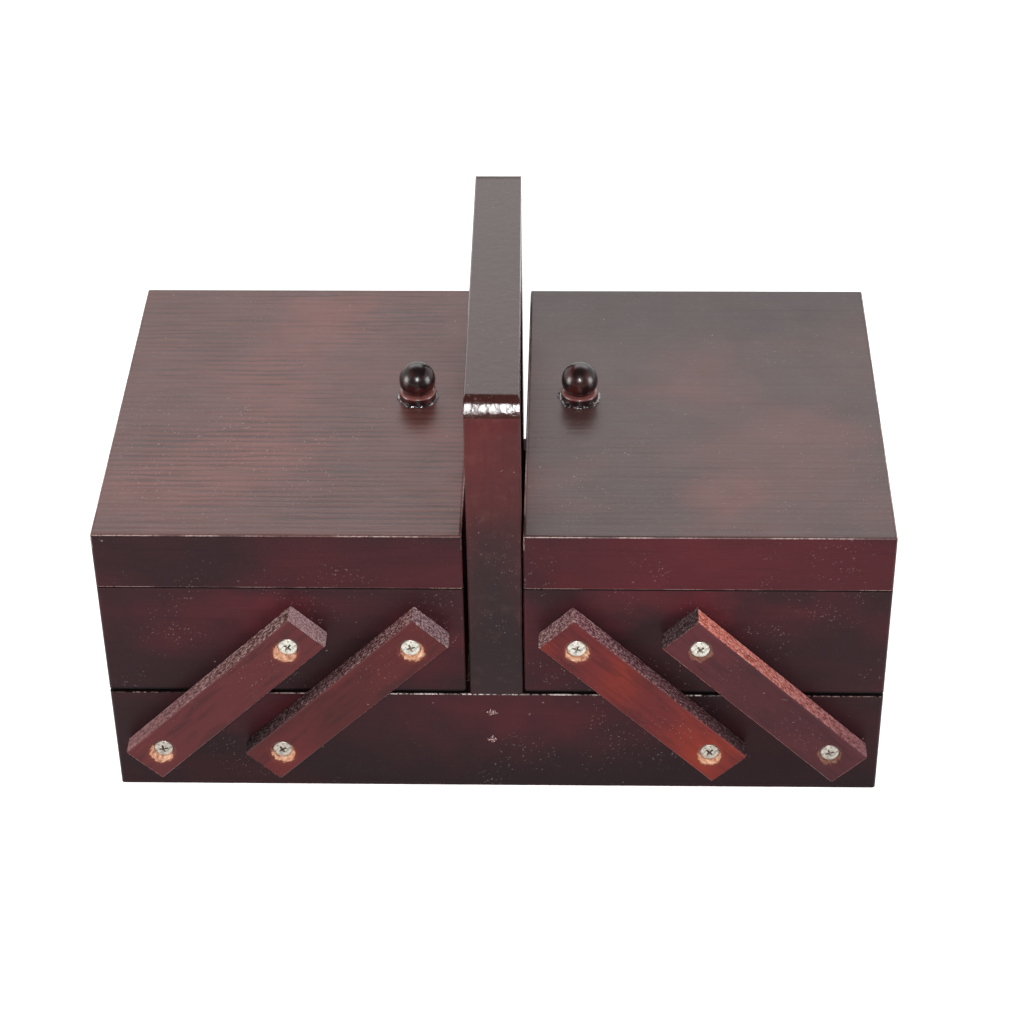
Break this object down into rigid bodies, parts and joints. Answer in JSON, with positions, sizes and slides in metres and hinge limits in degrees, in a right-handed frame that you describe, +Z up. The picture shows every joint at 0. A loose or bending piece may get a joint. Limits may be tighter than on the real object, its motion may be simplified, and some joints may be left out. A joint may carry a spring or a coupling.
{
  "type": "sewing box",
  "caption": "Wooden cantilever sewing carrier: a base tray with a fixed carrying handle and upper trays with hinged lids that swing up and out on parallel arms.",
  "frame": {"origin": "middle of the base tray's underside, on the table", "axes": "+X to the right along the width as seen from the front, +Y from the front to the back, +Z up"},
  "size_m": [0.2772, 0.1696, 0.165],
  "materials": {
    "box_wood": "dark wine-brown stain under satin lacquer",
    "lid_top_wood": "dark stain under worn satin lacquer, fine grain across the width",
    "handle_wood": "dark stain under gloss lacquer",
    "arm_wood": "thin red-brown stain, rough sawn edges",
    "knob_wood": "dark gloss lacquer",
    "plywood_bottoms": "bare plywood",
    "zinc_screws": "zinc plated",
    "bright_steel": "drawn wire",
    "hinge_brass": "brass plated, slightly dull"
  },
  "bodies": {
    "base": {"base_front_panel": "box_wood", "base_back_panel": "box_wood", "base_left_end": "box_wood", "base_right_end": "box_wood", "base_bottom_panel": "plywood_bottoms", "handle_grip_bar": "handle_wood", "handle_front_leg": "handle_wood", "handle_back_leg": "handle_wood", "handle_nails": "bright_steel", "base_pivot_screws_front": "zinc_screws", "base_pivot_screws_back": "zinc_screws"},
    "left_arm_front_outer": {"left_arm_front_outer": "arm_wood"},
    "left_arm_front_inner": {"left_arm_front_inner": "arm_wood"},
    "left_arm_back_outer": {"left_arm_back_outer": "arm_wood"},
    "left_arm_back_inner": {"left_arm_back_inner": "arm_wood"},
    "left_tray": {"left_tray_front_panel": "box_wood", "left_tray_back_panel": "box_wood", "left_tray_outer_wall": "box_wood", "left_tray_inner_wall": "box_wood", "left_tray_bottom_panel": "plywood_bottoms", "left_tray_pivot_screws_front": "zinc_screws", "left_tray_pivot_screws_back": "zinc_screws", "left_hinge_tray_leaves": "hinge_brass", "left_hinge_tray_screws": "hinge_brass", "left_hinge_pins": "bright_steel"},
    "left_lid": {"left_lid_top_panel": "lid_top_wood", "left_lid_front_rail": "box_wood", "left_lid_back_rail": "box_wood", "left_lid_outer_rail": "box_wood", "left_lid_inner_rail": "box_wood", "left_hinge_lid_leaves": "hinge_brass", "left_hinge_lid_screws": "hinge_brass", "left_lid_knob": "knob_wood", "left_lid_knob_screw": "zinc_screws"},
    "right_arm_front_outer": {"right_arm_front_outer": "arm_wood"},
    "right_arm_front_inner": {"right_arm_front_inner": "arm_wood"},
    "right_arm_back_outer": {"right_arm_back_outer": "arm_wood"},
    "right_arm_back_inner": {"right_arm_back_inner": "arm_wood"},
    "right_tray": {"right_tray_front_panel": "box_wood", "right_tray_back_panel": "box_wood", "right_tray_outer_wall": "box_wood", "right_tray_inner_wall": "box_wood", "right_tray_bottom_panel": "plywood_bottoms", "right_tray_pivot_screws_front": "zinc_screws", "right_tray_pivot_screws_back": "zinc_screws", "right_hinge_tray_leaves": "hinge_brass", "right_hinge_tray_screws": "hinge_brass", "right_hinge_pins": "bright_steel"},
    "right_lid": {"right_lid_top_panel": "lid_top_wood", "right_lid_front_rail": "box_wood", "right_lid_back_rail": "box_wood", "right_lid_outer_rail": "box_wood", "right_lid_inner_rail": "box_wood", "right_hinge_lid_leaves": "hinge_brass", "right_hinge_lid_screws": "hinge_brass", "right_lid_knob": "knob_wood", "right_lid_knob_screw": "zinc_screws"}
  },
  "joints": [
    {"name": "left_tray_swing", "type": "hinge", "parent": "base", "child": "left_arm_front_outer", "pos_m": [-0.117, -0.0808, 0.023], "axis": [0, -1, 0], "range_deg": [0, 89.92]},
    {"name": "left_arm_front_inner_swing", "type": "hinge", "parent": "base", "child": "left_arm_front_inner", "pos_m": [-0.07499, -0.0808, 0.023], "axis": [0, -1, 0], "range_deg": [0, 89.92]},
    {"name": "left_arm_back_outer_swing", "type": "hinge", "parent": "base", "child": "left_arm_back_outer", "pos_m": [-0.117, 0.0808, 0.023], "axis": [0, -1, 0], "range_deg": [0, 89.92]},
    {"name": "left_arm_back_inner_swing", "type": "hinge", "parent": "base", "child": "left_arm_back_inner", "pos_m": [-0.07499, 0.0808, 0.023], "axis": [0, -1, 0], "range_deg": [0, 89.92]},
    {"name": "left_tray_level", "type": "hinge", "parent": "left_arm_front_outer", "child": "left_tray", "pos_m": [-0.07036, -0.0808, 0.0697], "axis": [0, 1, 0], "range_deg": [0, 89.92]},
    {"name": "left_lid_hinge", "type": "hinge", "parent": "left_tray", "child": "left_lid", "pos_m": [-0.1369, 0, 0.08995], "axis": [0, -1, 0], "range_deg": [0, 180]},
    {"name": "right_tray_swing", "type": "hinge", "parent": "base", "child": "right_arm_front_outer", "pos_m": [0.117, -0.0808, 0.023], "axis": [0, 1, 0], "range_deg": [0, 89.92]},
    {"name": "right_arm_front_inner_swing", "type": "hinge", "parent": "base", "child": "right_arm_front_inner", "pos_m": [0.07499, -0.0808, 0.023], "axis": [0, 1, 0], "range_deg": [0, 89.92]},
    {"name": "right_arm_back_outer_swing", "type": "hinge", "parent": "base", "child": "right_arm_back_outer", "pos_m": [0.117, 0.0808, 0.023], "axis": [0, 1, 0], "range_deg": [0, 89.92]},
    {"name": "right_arm_back_inner_swing", "type": "hinge", "parent": "base", "child": "right_arm_back_inner", "pos_m": [0.07499, 0.0808, 0.023], "axis": [0, 1, 0], "range_deg": [0, 89.92]},
    {"name": "right_tray_level", "type": "hinge", "parent": "right_arm_front_outer", "child": "right_tray", "pos_m": [0.07036, -0.0808, 0.0697], "axis": [0, -1, 0], "range_deg": [0, 89.92]},
    {"name": "right_lid_hinge", "type": "hinge", "parent": "right_tray", "child": "right_lid", "pos_m": [0.1369, 0, 0.08995], "axis": [0, 1, 0], "range_deg": [0, 180]}
  ],
  "couplings": [
    {"joint": "left_arm_front_inner_swing", "follows": "left_tray_swing", "ratio": 1},
    {"joint": "left_arm_back_outer_swing", "follows": "left_tray_swing", "ratio": 1},
    {"joint": "left_arm_back_inner_swing", "follows": "left_tray_swing", "ratio": 1},
    {"joint": "left_tray_level", "follows": "left_tray_swing", "ratio": 1},
    {"joint": "right_arm_front_inner_swing", "follows": "right_tray_swing", "ratio": 1},
    {"joint": "right_arm_back_outer_swing", "follows": "right_tray_swing", "ratio": 1},
    {"joint": "right_arm_back_inner_swing", "follows": "right_tray_swing", "ratio": 1},
    {"joint": "right_tray_level", "follows": "right_tray_swing", "ratio": 1}
  ]
}
